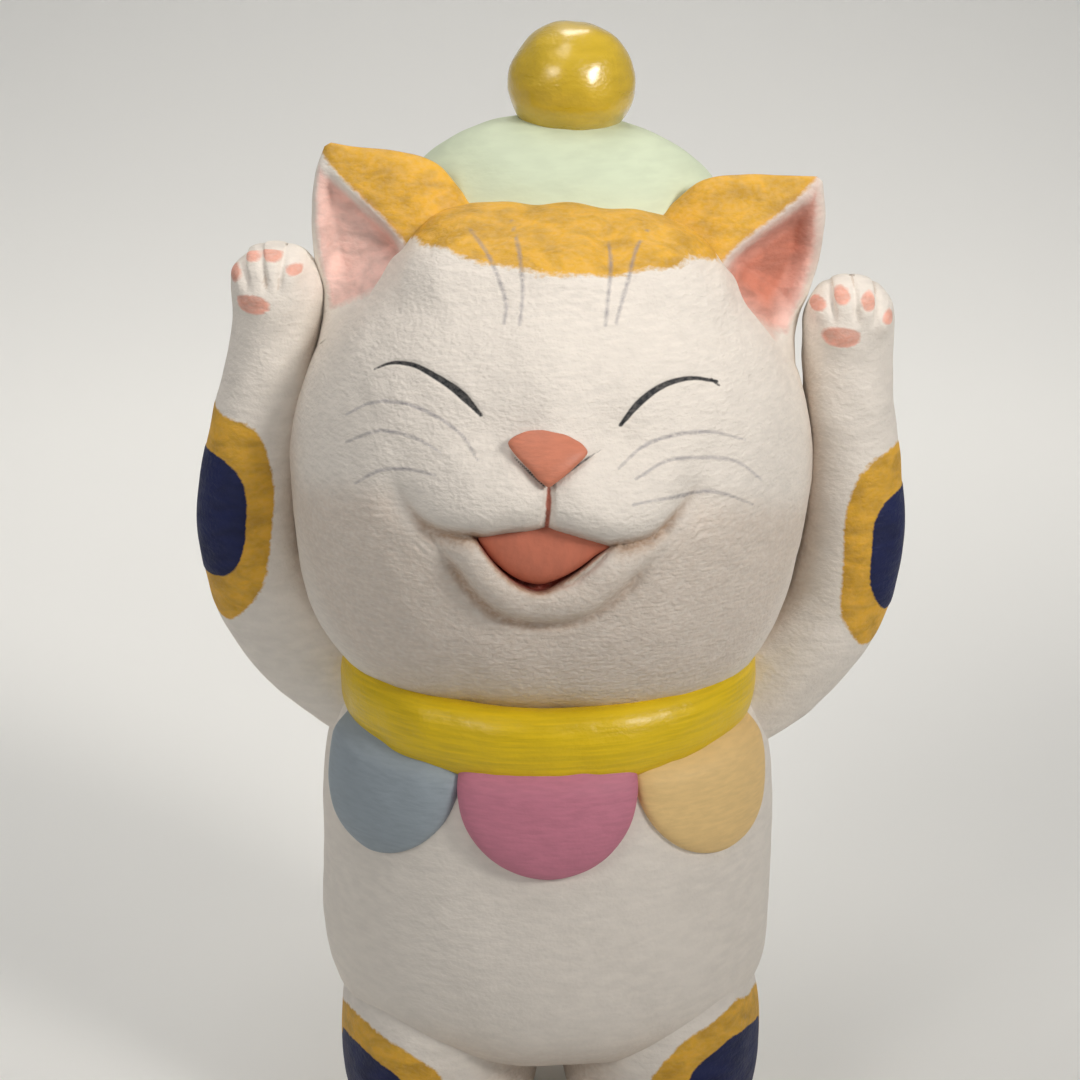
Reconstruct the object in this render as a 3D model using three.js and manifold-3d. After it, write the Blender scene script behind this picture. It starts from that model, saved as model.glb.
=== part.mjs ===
// A hand-made clay cat that stands and laughs with both paws raised beside its head.
// Millimetres, +Z up. The cat faces -Y and stands on the soles of its two feet.
import * as THREE from 'three';
import { ParametricGeometry } from 'three/addons/geometries/ParametricGeometry.js';
import { mergeVertices } from 'three/addons/utils/BufferGeometryUtils.js';
import Module from 'manifold-3d';

const wasm = await Module();
wasm.setup();

// ---- Driving dimensions -------------------------------------------------------------------
const FIT = 0.3;                // clearance between pieces that touch
const SEAT = FIT + 0.1;         // the same over a curved, faceted surface
const RUN_OUT = 8;              // how far a cut runs past the surface that it opens

const TORSO = { x: 37.2, y: 31.5 };        // greatest half width and half depth
const TORSO_LOW = 18;           // underside of the belly
const TORSO_HIGH = 94;          // top of the neck, before the head presses its seat into it
const TORSO_WALL = 7;

const HEAD = { x: 41, y: 38.5, z: 40 };    // half width, depth and height of the head
const HEAD_WALL = 6;            // clay over the foam ball
const HEAD_SEAT = 19;           // how deep the head sits in the neck
const HEAD_Z = TORSO_HIGH - HEAD_SEAT + HEAD.z;     // the head's centre, over the soles
const LEAN = THREE.MathUtils.degToRad(3.2);     // the head and arms lean to the cat's left
const FACE_PITCH = THREE.MathUtils.degToRad(17);    // the face looks up a little

const DOWEL_R = 4;
const DOWEL_LOW = TORSO_HIGH - 46;         // the dowel's ends, in the body and in the head
const DOWEL_HIGH = HEAD_Z + 9;
const CORE_RELIEF = 1;          // extra room between the head's skin and the body's foam

// In the leaning frame, from the head's centre, heights are from there too.
const ARM_R = 8.3;
const PAW_R = 7.9;
const PAW = { x: HEAD.x + 3.1, z: 23.6 };
const ELBOW = { x: HEAD.x + 7.2, z: -14 };
const SHOULDER = { x: TORSO.x - 8, z: TORSO_HIGH - HEAD_Z - 22 };
const ARM_BACK = 3;             // how far the arms stand behind the head's centre
const WIRE_R = 1;
const WIRE_ROOT = 9;            // how far a wire runs on into the body from the shoulder

// inset is how far in from the head's side an ear stands, and tilt is how far it leans out.
const EAR = { inset: 13.8, sink: 4, half: 14, depth: 8.5, height: 23.6, tilt: 34 };
const EAR_HOLLOW = 4.4;         // radius of the scoop in the ear's front

const HAT_SHORT = 13.5;          // how far the hat's brim stops short of the head's sides
const HAT = { x: HEAD.x - HAT_SHORT, y: 18.5, z: 20, back: 13, lift: HEAD.z - 8 };
const BALL_R = 10.1;
const BALL_SINK = 5.2;          // how deep the ball sits in the hat
const PIN_R = 0.9;
const PIN_HALF = 5;

const MUZZLE = { x: 22, y: 8.5, z: 9, drop: 6.5 };
const NOSE = { width: 11.6, height: 8, thick: 2.6 };
const MOUTH = { half: 9.8, height: 8.4, drop: 11.5, depth: 4 };
const TONGUE_THICK = 2;
const LIP = { r: 2.4, half: 14.5, height: 11.5 };

const COLLAR = { tall: 6, thick: 3.6, front: TORSO_HIGH - 17.3, rise: 3.4 };
const LOBE = { half: 13.3, drop: 19.2,  thick: 3.1, step: 47 };  // drop is from the collar's middle
const LOBE_ROUND = 15;          // height of a lobe's round end

const LEG = { x: 17.2, y: 25.5, height: TORSO_LOW + 21 };
const LEG_SPREAD = 18.2;        // from the middle to the centre line of a leg
const SOLE = 0.82;              // the sole's share of the leg's section
const TOE = { x: 13, y: 11, z: 9, reach: 22 };
const TAIL = { x: 9, y: 8, z: 8.5, height: TORSO_LOW + 16 };

// ---- Colours ------------------------------------------------------------------------------
const WHITE = 0xe6e0d6, LEMON = 0xd8c42e, MINT = 0xd6dcc4, CORAL = 0xd98870;
const GREY_BLUE = 0x9aa3ab, PINK = 0xb06a80, CREAM = 0xd6b878, FOAM = 0xf1f1ec;
const WOOD = 0xc9a878, STEEL = 0xb4b6b8;
const MATTE = 0.75, SATIN = 0.45, VARNISHED = 0.2;

// ---- Solids -------------------------------------------------------------------------------
// A closed surface as a solid: its vertices are merged and triangles without area dropped.
function solidOf(geometry) {
  const bare = new THREE.BufferGeometry();
  bare.setAttribute('position', geometry.getAttribute('position'));
  bare.setIndex(geometry.index);
  const merged = mergeVertices(bare, 1e-3);
  const kept = [];
  for (let i = 0; i < merged.index.count; i += 3) {
    const [a, b, c] = [0, 1, 2].map((k) => merged.index.getX(i + k));
    if (a !== b && b !== c && c !== a) kept.push(a, b, c);
  }
  const vertProperties = merged.attributes.position.array;
  const build = (triVerts) => new wasm.Manifold(new wasm.Mesh({
    numProp: 3, vertProperties, triVerts: new Uint32Array(triVerts),
  }));
  const made = build(kept);
  return made.volume() > 0 ? made : build(kept.reverse());
}

// The solid's triangles as a geometry.
function geometryOf(solid) {
  const { vertProperties, numProp, triVerts } = solid.getMesh();
  const geometry = new THREE.BufferGeometry();
  geometry.setAttribute('position', new THREE.BufferAttribute(vertProperties, numProp));
  geometry.setIndex(new THREE.BufferAttribute(triVerts, 1));
  const flat = geometry.toNonIndexed();
  flat.computeVertexNormals();
  return flat;
}

// A surface given by a function of u and v, both from 0 to 1.
const surface = (at, around, along) => solidOf(new ParametricGeometry(at, around, along));

function ellipsoid(centre, half, around = 24, along = 14) {
  const ball = new THREE.SphereGeometry(1, around, along);
  ball.rotateX(Math.PI / 2);
  ball.scale(half.x, half.y, half.z);
  ball.translate(centre.x, centre.y, centre.z);
  return solidOf(ball);
}

const grown = (half, gap) => ({ x: half.x + gap, y: half.y + gap, z: half.z + gap });
const point = (x, y, z) => new THREE.Vector3(x, y, z);
const cut = (solid, ...cutters) => cutters.reduce((left, cutter) => left.subtract(cutter), solid);

// An upright round bar.
function bar(x, y, low, high, r, sides = 16) {
  const shape = new THREE.CylinderGeometry(r, r, high - low, sides);
  shape.rotateX(Math.PI / 2);
  shape.translate(x, y, (low + high) / 2);
  return solidOf(shape);
}

// A clay roll along a path, with rounded ends. gap makes it fatter and longer all round.
function roll(points, radius, gap = 0, sides = 12, steps = 22, blunt = 8) {
  const last = points.length - 1;
  const ends = points.map((p) => p.clone());
  ends[0].add(points[0].clone().sub(points[1]).setLength(gap));
  ends[last].add(points[last].clone().sub(points[last - 1]).setLength(gap));
  const path = new THREE.CatmullRomCurve3(ends, false, 'centripetal');
  const at = (u, v, target) => {
    const t = 0.5 - 0.5 * Math.cos(Math.PI * v);
    const along = path.getTangentAt(t);
    const side = point(0, 1, 0).cross(along).normalize();
    const up = along.clone().cross(side);
    const round = Math.sqrt(Math.max(0, 1 - Math.abs(2 * t - 1) ** blunt));
    const r = (radius(t) + gap) * round;
    const turn = 2 * Math.PI * u;
    target.copy(path.getPointAt(t));
    target.addScaledVector(side, r * Math.cos(turn)).addScaledVector(up, r * Math.sin(turn));
  };
  return surface(at, sides, steps);
}

// ---- The two frames: the body stands upright, the head and arms lean ------------------------
const upper = new THREE.Group();
upper.position.set(0, 0, HEAD_Z);
upper.rotation.y = LEAN;
upper.updateMatrix();
const toUpper = upper.matrix.clone().invert().elements;
const toBody = upper.matrix.elements;
const body = new THREE.Group();

function add(group, name, solid, color, roughness = MATTE, metalness = 0) {
  const material = new THREE.MeshStandardMaterial({ color, roughness, metalness });
  const mesh = new THREE.Mesh(geometryOf(solid), material);
  mesh.name = name;
  group.add(mesh);
}

// ---- Head: a clay skin round a foam ball, on a wooden dowel -------------------------------
const middle = point(0, 0, 0);
const headShape = (gap = 0) => ellipsoid(middle, grown(HEAD, gap), 30, 18);
const headCoreShape = (gap = 0) => ellipsoid(middle, grown(HEAD, gap - HEAD_WALL), 18, 10);
const dowelShape = (gap = 0) => bar(0, 0, DOWEL_LOW - gap, DOWEL_HIGH + gap, DOWEL_R + gap);

// The face's own frame: u to the right, v up, w out of the face.
const faceUp = point(0, Math.sin(FACE_PITCH), Math.cos(FACE_PITCH));
const faceOut = point(0, -Math.cos(FACE_PITCH), Math.sin(FACE_PITCH));
function onFace(u, v, out = 0) {
  const start = point(u, 0, 0).addScaledVector(faceUp, v);
  const half = point(HEAD.x, HEAD.y, HEAD.z);
  const s = start.clone().divide(half);
  const d = faceOut.clone().divide(half);
  const b = s.dot(d);
  const w = (-b + Math.sqrt(b * b - d.lengthSq() * (s.lengthSq() - 1))) / d.lengthSq();
  return start.addScaledVector(faceOut, w + out);
}

// A shape drawn in the face's frame, pushed through from depth inside to proud outside.
function facePlug(shape, spot, inside, proud) {
  const plug = new THREE.ExtrudeGeometry(shape, { depth: inside + proud, bevelEnabled: false });
  plug.translate(0, 0, -inside);
  plug.applyMatrix4(new THREE.Matrix4().makeBasis(point(1, 0, 0), faceUp, faceOut));
  plug.translate(spot.x, spot.y, spot.z);
  return solidOf(plug);
}

// The open mouth: a nearly straight upper edge and a deep round lower edge.
function mouthOutline(gap = 0) {
  const half = MOUTH.half + gap, height = MOUTH.height + gap;
  const shape = new THREE.Shape();
  shape.moveTo(-half, gap);
  shape.bezierCurveTo(-half * 0.75, -height * 0.6, -half * 0.4, -height, 0, -height);
  shape.bezierCurveTo(half * 0.4, -height, half * 0.75, -height * 0.6, half, gap);
  shape.closePath();
  return shape;
}

const mouthSpot = onFace(0, -MOUTH.drop);
const mouthPit = facePlug(mouthOutline(), mouthSpot, MOUTH.depth, RUN_OUT);
const tongue = facePlug(mouthOutline(-FIT), mouthSpot, MOUTH.depth - FIT,
  TONGUE_THICK + FIT - MOUTH.depth);

const muzzleShape = (gap = 0) => {
  const spot = onFace(0, -MUZZLE.drop, -MUZZLE.y / 2);
  return ellipsoid(spot, grown(MUZZLE, gap), 20, 12);
};

// The nose: a rounded triangle, point down, seated across the top of the muzzle.
function noseOutline() {
  const { width, height } = NOSE;
  const shape = new THREE.Shape();
  shape.moveTo(0, -height / 2);
  shape.quadraticCurveTo(width * 0.35, -height * 0.1, width / 2, height * 0.2);
  shape.quadraticCurveTo(width * 0.3, height / 2, 0, height / 2);
  shape.quadraticCurveTo(-width * 0.3, height / 2, -width / 2, height * 0.2);
  shape.quadraticCurveTo(-width * 0.35, -height * 0.1, 0, -height / 2);
  return shape;
}

// The lower lip: a roll that hangs in a U under the mouth.
const lipShape = (gap = 0) => {
  const turns = [0, 1, 2, 3, 4, 5, 6].map((k) => Math.PI * (1 + k / 6));
  const spots = turns.map((a) => onFace(
    LIP.half * Math.cos(a), -MOUTH.drop + (LIP.height + LIP.r / 2) * Math.sin(a)));
  return roll(spots, () => LIP.r, gap, 10, 18);
};

const dowelInHead = dowelShape(FIT).transform(toUpper);
const wall = cut(headShape(), headCoreShape(FIT), dowelInHead, mouthPit);
add(upper, 'head', wall, WHITE);
add(upper, 'head_core', cut(headCoreShape(), dowelInHead), FOAM, 0.9);
add(upper, 'tongue', tongue, CORAL);
const muzzle = cut(muzzleShape(), headShape(FIT), mouthPit);
add(upper, 'muzzle', muzzle, WHITE);
const noseSpot = onFace(0, 0);
const nose = facePlug(noseOutline(), noseSpot, NOSE.thick, NOSE.thick);
add(upper, 'nose', cut(nose, headShape(FIT), muzzleShape(FIT)), CORAL);
const lip = cut(lipShape(), headShape(FIT), muzzleShape(FIT), mouthPit);
add(upper, 'lower_lip', lip, WHITE);

// ---- Hat and its ball ------------------------------------------------------------------------
const hatSpot = point(0, HAT.back, HAT.lift);
const ballSpot = point(0, HAT.back, HAT.lift + HAT.z + BALL_R - BALL_SINK);
const pinZ = HAT.lift + HAT.z - BALL_SINK;
const hatShape = (gap = 0) => ellipsoid(hatSpot, grown(HAT, gap), 24, 12);
const ballShape = (gap = 0) => ellipsoid(ballSpot, point(BALL_R, BALL_R, BALL_R).addScalar(gap),
  16, 10);
const pinShape = (gap = 0) => bar(0, HAT.back, pinZ - PIN_HALF - gap, pinZ + PIN_HALF + gap,
  PIN_R + gap, 10);

// ---- Ears: cones that lean outwards, scooped in front ---------------------------------------
// side is 1 for the ear at +X and -1 for the one at -X.
function earFrame(side) {
  const tilt = THREE.MathUtils.degToRad(EAR.tilt);
  const x = HEAD.x - EAR.inset;
  const skin = point(side * x, 0, HEAD.z * Math.sqrt(1 - (x / HEAD.x) ** 2));
  return {
    foot: skin.clone().setLength(skin.length() - EAR.sink),
    out: point(side * Math.sin(tilt), 0, Math.cos(tilt)),
    across: point(side * Math.cos(tilt), 0, -Math.sin(tilt)),
  };
}

function earShape(side, gap = 0) {
  const { foot, out, across } = earFrame(side);
  const at = (u, v, target) => {
    const round = -side * 2 * Math.PI * u;
    const rise = Math.min(1, Math.max(0, (v - 0.1) / 0.8));
    const pole = v === 0 || v === 1 ? 0 : 1;
    const wide = pole * (1 - rise) ** 0.85;
    target.copy(foot).addScaledVector(out, rise * (EAR.height + 2 * gap) - gap);
    target.addScaledVector(across, (EAR.half * wide + gap * pole) * Math.cos(round));
    target.y += (EAR.depth * wide + gap * pole) * Math.sin(round);
  };
  return surface(at, 16, 8);
}

// The scoop runs up the outer half of the ear's front and gets shallower towards the tip.
function earScoop(side) {
  const { foot, out, across } = earFrame(side);
  const points = [0.16, 0.5, 0.78].map((share) => foot.clone()
    .addScaledVector(out, EAR.height * share)
    .addScaledVector(across, EAR.half * (1 - share) / 2)
    .add(point(0, -1.2 * EAR.depth * (1 - share), 0)));
  return roll(points, (t) => EAR_HOLLOW * (1.1 - 0.7 * t), 0, 12, 10);
}

// ---- Arms: clay rolls on a wire, from the shoulder round the elbow to the raised paw --------
function armPath(side) {
  const y = ARM_BACK;
  return [
    point(side * SHOULDER.x, y, SHOULDER.z),
    point(side * (SHOULDER.x * 0.3 + ELBOW.x * 0.7 - 1.5), y, SHOULDER.z * 0.55 + ELBOW.z * 0.45),
    point(side * ELBOW.x, y, ELBOW.z),
    point(side * (ELBOW.x - 2), y - 1, (ELBOW.z + PAW.z) / 2),
    point(side * PAW.x, y - 3, PAW.z),
  ];
}

function armShape(side, gap = 0) {
  const path = armPath(side);
  const [wrist, paw] = path.slice(-2);
  const tip = paw.clone().sub(wrist).setLength(PAW_R).add(paw);
  const radius = (t) => ARM_R + (PAW_R - ARM_R) * t;
  return roll([...path, tip], radius, gap, 12, 20, 10);
}

function wireShape(side, gap = 0) {
  const path = armPath(side);
  const root = path[0].clone().add(point(-side * WIRE_ROOT, 0, -WIRE_ROOT / 4));
  return roll([root, ...path], () => WIRE_R, gap, 8, 16, 40);
}

// ---- Torso: a clay barrel round a foam core ---------------------------------------------------
// The section's share of the greatest half width, at shares of the height.
const torsoSections = [[0, 0], [0.55, 0.005], [0.84, 0.05], [0.95, 0.13], [0.99, 0.25],
  [1, 0.45], [0.975, 0.62], [0.91, 0.735], [0.8, 0.84], [0.63, 0.93], [0.35, 0.985], [0, 1]];
const torsoCurve = new THREE.SplineCurve(torsoSections.map(([r, h]) => new THREE.Vector2(r, h)));

function torsoShape(gap = 0, steps = 16, around = 30) {
  const height = TORSO_HIGH - TORSO_LOW;
  const profile = torsoCurve.getPoints(steps).map(({ x, y }, k) => new THREE.Vector2(
    k === 0 || k === steps ? 0 : Math.max(0, x) * TORSO.x + gap,
    TORSO_LOW + y * height + gap * (2 * y - 1)));
  const lathe = new THREE.LatheGeometry(profile, around);
  lathe.rotateX(Math.PI / 2);
  lathe.scale(1, (TORSO.y + gap) / (TORSO.x + gap), 1);
  return solidOf(lathe);
}

// Where the torso's skin is, at an angle from the front and a height.
function onTorso(angle, z, out = 0) {
  const share = (z - TORSO_LOW) / (TORSO_HIGH - TORSO_LOW);
  let near = 0, far = 1;
  for (let k = 0; k < 30; k += 1) {
    const t = (near + far) / 2;
    if (torsoCurve.getPoint(t).y < share) near = t; else far = t;
  }
  const r = torsoCurve.getPoint(near).x;
  return point((r * TORSO.x + out) * Math.sin(angle), -(r * TORSO.y + out) * Math.cos(angle), z);
}

const headOnBody = (gap) => headShape(gap).transform(toBody);
const wires = [-1, 1].map((side) => wireShape(side, FIT).transform(toBody));
const torsoCore = (gap = 0) => torsoShape(gap - TORSO_WALL, 10, 18);
add(body, 'torso', cut(torsoShape(), torsoCore(FIT), headOnBody(FIT), dowelShape(FIT), ...wires),
  WHITE);
add(body, 'torso_core', cut(torsoCore(), headOnBody(FIT + CORE_RELIEF), dowelShape(FIT), ...wires),
  FOAM, 0.9);
add(body, 'neck_dowel', dowelShape(), WOOD);

const bodyInUpper = [torsoShape(FIT), collarShape(FIT)].map((s) => s.transform(toUpper));
const NAMES = { '-1': 'left', 1: 'right' };
const ears = [-1, 1].map((side) => earShape(side, FIT));
for (const side of [-1, 1]) {
  const ear = cut(earShape(side), headShape(FIT), earScoop(side), armShape(side, FIT));
  add(upper, `ear_${NAMES[side]}`, ear, WHITE);
  const arm = cut(armShape(side), headShape(FIT), wireShape(side, FIT), ...bodyInUpper);
  add(upper, `arm_${NAMES[side]}`, arm, WHITE);
  add(upper, `arm_wire_${NAMES[side]}`, wireShape(side), STEEL, 0.35, 1);
}
const hat = cut(hatShape(), headShape(FIT), ballShape(FIT), pinShape(FIT), ...ears);
add(upper, 'hat', hat, MINT);
add(upper, 'hat_ball', cut(ballShape(), pinShape(FIT)), LEMON, VARNISHED);
add(upper, 'hat_ball_pin', pinShape(), STEEL, 0.35, 1);

// ---- Collar and the three lobes of the bib ---------------------------------------------------
// A ring that hugs the neck, lower in front. Its section is an upright oval.
function collarShape(gap = 0) {
  const at = (u, v, target) => {
    const angle = 2 * Math.PI * u, turn = 2 * Math.PI * v;
    const z = COLLAR.front + COLLAR.rise * (1 - Math.cos(angle));
    const seat = onTorso(angle, z, COLLAR.thick / 8);
    const out = (COLLAR.thick + gap) * Math.cos(turn);
    target.set(seat.x + out * Math.sin(angle), seat.y - out * Math.cos(angle),
      z + (COLLAR.tall + gap) * Math.sin(turn));
  };
  return surface(at, 36, 10);
}
const collar = cut(collarShape(), torsoShape(FIT), headOnBody(FIT), ...wires);
add(body, 'collar', collar, LEMON, SATIN);

// A pillow that follows the torso's skin, with a rounded rim. Its top is cut off straight, in
// the middle of the collar.
function lobeShape(angle) {
  const reach = LOBE.half / ((TORSO.x + TORSO.y) / 2);
  const middleZ = COLLAR.front - LOBE.drop + LOBE_ROUND;
  const at = (u, v, target) => {
    const turn = 2 * Math.PI * u;
    const share = Math.min(1, v < 0.5 ? 2 * v : 2 - 2 * v);
    const swell = v < 0.5 ? LOBE.thick * (1 - share ** 3) ** 0.5 : 0;
    target.copy(onTorso(angle + reach * share * Math.cos(turn),
      middleZ + LOBE_ROUND * share * Math.sin(turn), SEAT + swell));
  };
  const lid = new THREE.BoxGeometry(3 * TORSO.x, 3 * TORSO.x, LOBE_ROUND);
  lid.translate(0, 0, COLLAR.front + LOBE_ROUND / 2);
  return cut(surface(at, 20, 8), solidOf(lid));
}
const arms = [-1, 1].map((side) => armShape(side, FIT).transform(toBody));
const lobes = { blue: [-1, GREY_BLUE], pink: [0, PINK], cream: [1, CREAM] };
for (const [name, [place, color]] of Object.entries(lobes)) {
  const lobe = lobeShape(THREE.MathUtils.degToRad(LOBE.step * place));
  add(body, `bib_lobe_${name}`, cut(lobe, collarShape(FIT), headOnBody(FIT), ...arms), color);
}

// ---- Legs and tail -----------------------------------------------------------------------------
function legShape(side) {
  const profile = [[0, 0], [SOLE, 0], [0.94, 0.08], [1, 0.3], [0.98, 0.6], [0.82, 0.83],
    [0.5, 0.96], [0, 1]];
  const lathe = new THREE.LatheGeometry(
    profile.map(([r, h]) => new THREE.Vector2(r * LEG.x, h * LEG.height)), 20);
  lathe.rotateX(Math.PI / 2);
  lathe.scale(1, LEG.y / LEG.x, 1);
  lathe.translate(side * LEG_SPREAD, 0, 0);
  const toe = ellipsoid(point(side * LEG_SPREAD, -TOE.reach, TOE.z * 0.6), TOE, 16, 10);
  const ground = new THREE.BoxGeometry(LEG.x * 3, LEG.y * 4, TOE.z * 2);
  ground.translate(side * LEG_SPREAD, 0, -TOE.z);
  return cut(solidOf(lathe).add(toe), solidOf(ground));
}
const torsoBed = torsoShape(FIT);
for (const side of [-1, 1]) {
  add(body, `leg_${NAMES[side]}`, cut(legShape(side), torsoBed), WHITE);
}
const tailSpot = onTorso(Math.PI, TAIL.height, TAIL.y / 2);
add(body, 'tail', cut(ellipsoid(tailSpot, TAIL, 18, 10), torsoBed), WHITE);

// ---- The figure, centred over its soles --------------------------------------------------------
const group = new THREE.Group();
group.add(body, upper);
group.updateMatrixWorld(true);
const room = new THREE.Box3().setFromObject(group, true);
const centre = room.getCenter(new THREE.Vector3());
group.position.set(-centre.x, -centre.y, 0);

export default group;
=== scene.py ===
# %% [markdown]
# # A laughing clay cat
#
# The figurine is air-dry clay, modelled by hand and brushed with matte acrylic. The frame gives
# the place and size of every piece. Each piece is drawn again here as a surface of numpy arrays
# with the lumps, creases and rolls that fingers leave, and the paint is a procedural material.
# Lengths are millimetres in the arrays and metres in the meshes.

# %% setup
import math

import bpy
import numpy as np
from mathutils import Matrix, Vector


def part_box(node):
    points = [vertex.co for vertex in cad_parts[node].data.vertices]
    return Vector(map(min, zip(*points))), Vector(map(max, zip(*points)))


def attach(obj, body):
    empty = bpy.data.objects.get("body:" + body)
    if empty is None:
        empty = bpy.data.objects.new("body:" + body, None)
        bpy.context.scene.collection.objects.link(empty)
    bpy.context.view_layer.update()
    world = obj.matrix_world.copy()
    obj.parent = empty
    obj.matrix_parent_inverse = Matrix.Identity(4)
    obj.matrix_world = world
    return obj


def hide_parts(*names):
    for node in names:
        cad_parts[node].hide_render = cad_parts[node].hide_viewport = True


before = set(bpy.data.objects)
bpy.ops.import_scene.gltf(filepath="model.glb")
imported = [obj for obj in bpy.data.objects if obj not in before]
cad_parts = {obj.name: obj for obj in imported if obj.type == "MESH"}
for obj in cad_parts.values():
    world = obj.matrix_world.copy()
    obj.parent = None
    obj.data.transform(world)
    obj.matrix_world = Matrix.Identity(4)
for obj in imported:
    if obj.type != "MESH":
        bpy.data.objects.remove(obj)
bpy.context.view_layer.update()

MM = 0.001


def box_mm(node):
    """A node's lowest and highest corners, in millimetres."""
    low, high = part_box(node)
    return np.array(low) / MM, np.array(high) / MM


def middle_mm(node):
    """The middle of a node's box."""
    low, high = box_mm(node)
    return (low + high) / 2


def half_mm(node):
    """Half of a node's width, depth and height."""
    low, high = box_mm(node)
    return (high - low) / 2


HEAD_AT = middle_mm("head")
HEAD = half_mm("head")
TORSO_AT = middle_mm("torso")
TORSO = half_mm("torso")
BALL_AT = middle_mm("hat_ball")
LEAN = math.atan2(BALL_AT[0] - HEAD_AT[0], BALL_AT[2] - HEAD_AT[2])
FACE_PITCH = math.radians(17)
print("head", HEAD.round(1), "at", HEAD_AT.round(1), "lean", round(math.degrees(LEAN), 2))

# %% [markdown]
# ## Tools for surfaces
#
# A surface is a grid of points, rows by columns. Most of them close round in the columns and end
# in a point at both ends of the rows, as a clay roll does. Fields, such as the distance to a
# painted edge, travel with the points as mesh attributes, so the paint can follow the sculpt.
# Building them as whole arrays keeps every formula in one line and every piece fast.

# %% surface tools
def smooth(low, high, x):
    """Rises from 0 at low to 1 at high along a cubic without corners."""
    t = np.clip((x - low) / (high - low), 0, 1)
    return t * t * (3 - 2 * t)


def bell(x, width):
    """1 at zero, fading like a normal curve of this width."""
    return np.exp(-(x / width) ** 2)


def through(places, values, x):
    """A smooth curve through a few given points, flat beyond the first and last."""
    places, values = np.array(places, float), np.array(values, float)
    slopes = np.gradient(values, places)
    x = np.clip(x, places[0], places[-1])
    k = np.clip(np.searchsorted(places, x) - 1, 0, len(places) - 2)
    step = places[k + 1] - places[k]
    t = (x - places[k]) / step
    rise = values[k + 1] - values[k]
    return (values[k] + t * step * slopes[k]
            + t * t * (3 * rise - step * (2 * slopes[k] + slopes[k + 1]))
            + t ** 3 * (step * (slopes[k] + slopes[k + 1]) - 2 * rise))


def lumps(points, size, seed):
    """Soft uneven swelling, from -1 to 1: waves of about one size in many directions."""
    dice = np.random.default_rng(seed)
    total = np.zeros(points.shape[:-1])
    for _ in range(10):
        way = dice.normal(size=3)
        way *= 2 * math.pi / (size * dice.uniform(0.7, 1.6) * np.linalg.norm(way))
        total += np.cos(points @ way + dice.uniform(0, 2 * math.pi))
    return total / 4.5


def unit(vectors):
    """Vectors shortened or stretched to a length of 1."""
    return vectors / np.maximum(np.linalg.norm(vectors, axis=-1, keepdims=True), 1e-9)


def strand(points, steps):
    """A smooth line through a few points: even steps of a cubic in the running length."""
    points = np.array(points, float)
    run = np.concatenate([[0], np.cumsum(np.linalg.norm(np.diff(points, axis=0), axis=1))])
    at = np.linspace(0, run[-1], steps)
    return np.stack([through(run, points[:, k], at) for k in range(points.shape[1])], -1)


def stroke(u, v, points, widths):
    """How far each place is outside a brushed line, in millimetres: its distance to the line
    less half the line's width there, which runs from widths[0] to widths[-1]."""
    line = strand(points, 28)
    half = np.interp(np.linspace(0, 1, len(line) - 1), np.linspace(0, 1, len(widths)), widths) / 2
    best = np.full(np.shape(u), 99.0)
    for (au, av), (bu, bv), h in zip(line[:-1], line[1:], half):
        du, dv = bu - au, bv - av
        t = np.clip(((u - au) * du + (v - av) * dv) / (du * du + dv * dv), 0, 1)
        best = np.minimum(best, np.hypot(u - au - t * du, v - av - t * dv) - h)
    return best


def leaned(points):
    """Points of the leaning head, from its centre, moved to where the head stands."""
    x, y, z = np.moveaxis(points, -1, 0)
    c, s = math.cos(LEAN), math.sin(LEAN)
    return np.stack([x * c + z * s, y, z * c - x * s], -1) + HEAD_AT


# %% [markdown]
# A finished surface becomes a mesh in one way for every piece. The faces are turned so that they
# point outwards, the fields are stored on the points, the piece is told which body it rides on
# and which finish it has, and the nodes of the frame that it stands for are hidden.

# %% from surface to piece
def set_down(name, spots, quads, fans, material, stands_for, fields):
    """A smooth mesh of points in millimetres. The faces point out when the volume that they
    enclose, added up from pyramids to the origin, is more than 0."""
    a, b, c, d = (spots[quads[:, k]] for k in range(4))
    if np.einsum("ij,ij->i", a, np.cross(b, c) + np.cross(c, d)).sum() < 0:
        quads, fans = quads[:, ::-1], fans[:, ::-1]
    mesh = bpy.data.meshes.new(name)
    mesh.from_pydata((spots * MM).tolist(), [], quads.tolist() + fans.tolist())
    mesh.polygons.foreach_set("use_smooth", np.ones(len(mesh.polygons), bool))
    for key, values in fields.items():
        layer = mesh.attributes.new(key, "FLOAT", "POINT")
        layer.data.foreach_set("value", values.astype(np.float32))
    mesh.materials.append(material)
    made = bpy.data.objects.new(name, mesh)
    bpy.context.scene.collection.objects.link(made)
    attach(made, "root")
    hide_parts(*stands_for)
    print(name, len(mesh.vertices), "points")


def piece(name, points, material, stands_for, fields=None):
    """A closed mesh over a grid of points. Columns close round, and each end of the rows closes
    with a fan of triangles to one more point, the mean of its row."""
    rows, columns, _ = points.shape
    row = np.arange(rows - 1)[:, None] * columns
    here, there = np.arange(columns), np.roll(np.arange(columns), -1)
    quads = np.stack([row + here, row + there, row + columns + there, row + columns + here],
                     -1).reshape(-1, 4)
    first = rows * columns
    top = (rows - 1) * columns
    fans = np.concatenate([np.stack([np.full(columns, first), there, here], -1),
                           np.stack([np.full(columns, first + 1), top + here, top + there], -1)])
    spots = np.vstack([points.reshape(-1, 3), points[0].mean(0), points[-1].mean(0)])
    stored = {}
    for key, values in (fields or {}).items():
        values = np.broadcast_to(values, (rows, columns))
        stored[key] = np.concatenate([values.ravel(), [values[0].mean(), values[-1].mean()]])
    set_down(name, spots, quads, fans, material, stands_for, stored)


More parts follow.
